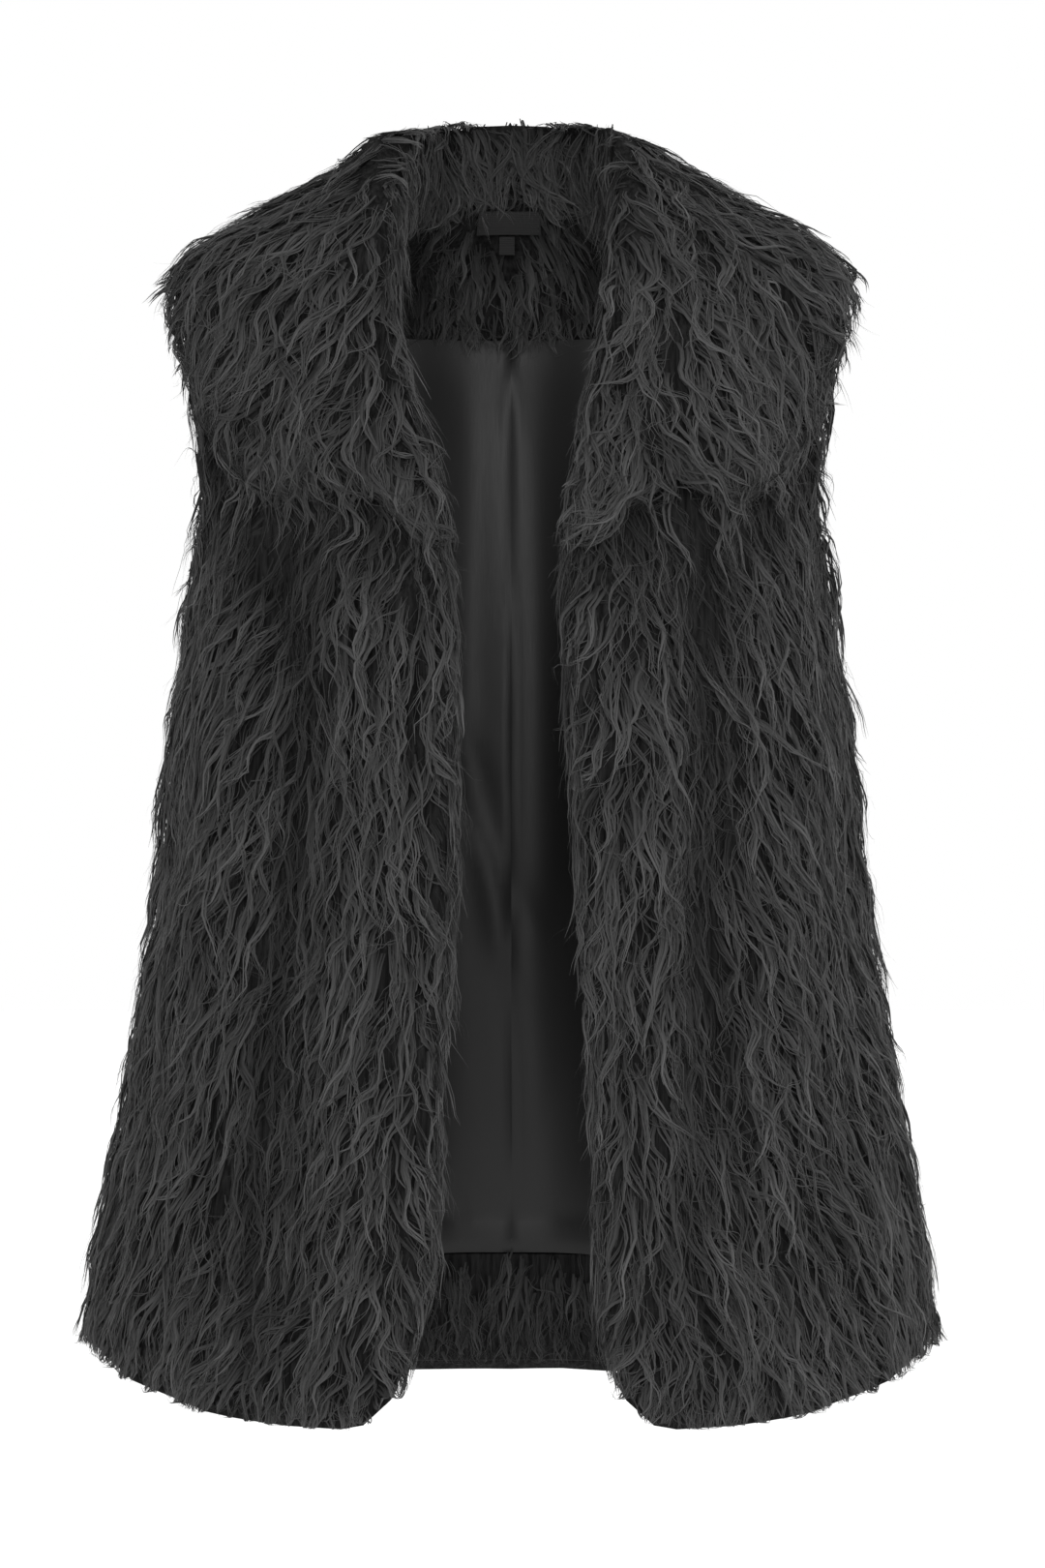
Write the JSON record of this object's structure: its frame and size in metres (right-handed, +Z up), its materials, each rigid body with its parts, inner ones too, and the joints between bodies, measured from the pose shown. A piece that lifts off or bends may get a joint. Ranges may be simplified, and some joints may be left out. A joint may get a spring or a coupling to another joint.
{
  "type": "sleeveless fur vest",
  "caption": "Sleeveless open-front vest of shaggy long-haired fur fabric, flared, with a wide rolled shawl collar and a smooth back lining, in its worn shape.",
  "frame": {"origin": "between the wearer's shoulders on the garment's middle plane, at the height of the side neck points", "axes": "+Z up, the front faces -Y, +X towards the wearer's left"},
  "size_m": [0.5042, 0.3242, 0.7698],
  "materials": {
    "long_fur": "shaggy long hair",
    "facing_fur": "shorter crushed hair",
    "lining": "satin",
    "label": "woven"
  },
  "bodies": {
    "root": {"back": "long_fur", "front_left": "long_fur", "front_right": "long_fur", "collar_left": "long_fur", "collar_right": "long_fur", "neck_facing": "facing_fur", "hem_facing": "facing_fur", "lining_back_left": "lining", "lining_back_right": "lining", "neck_label": "label", "size_tab": "label"}
  },
  "joints": []
}
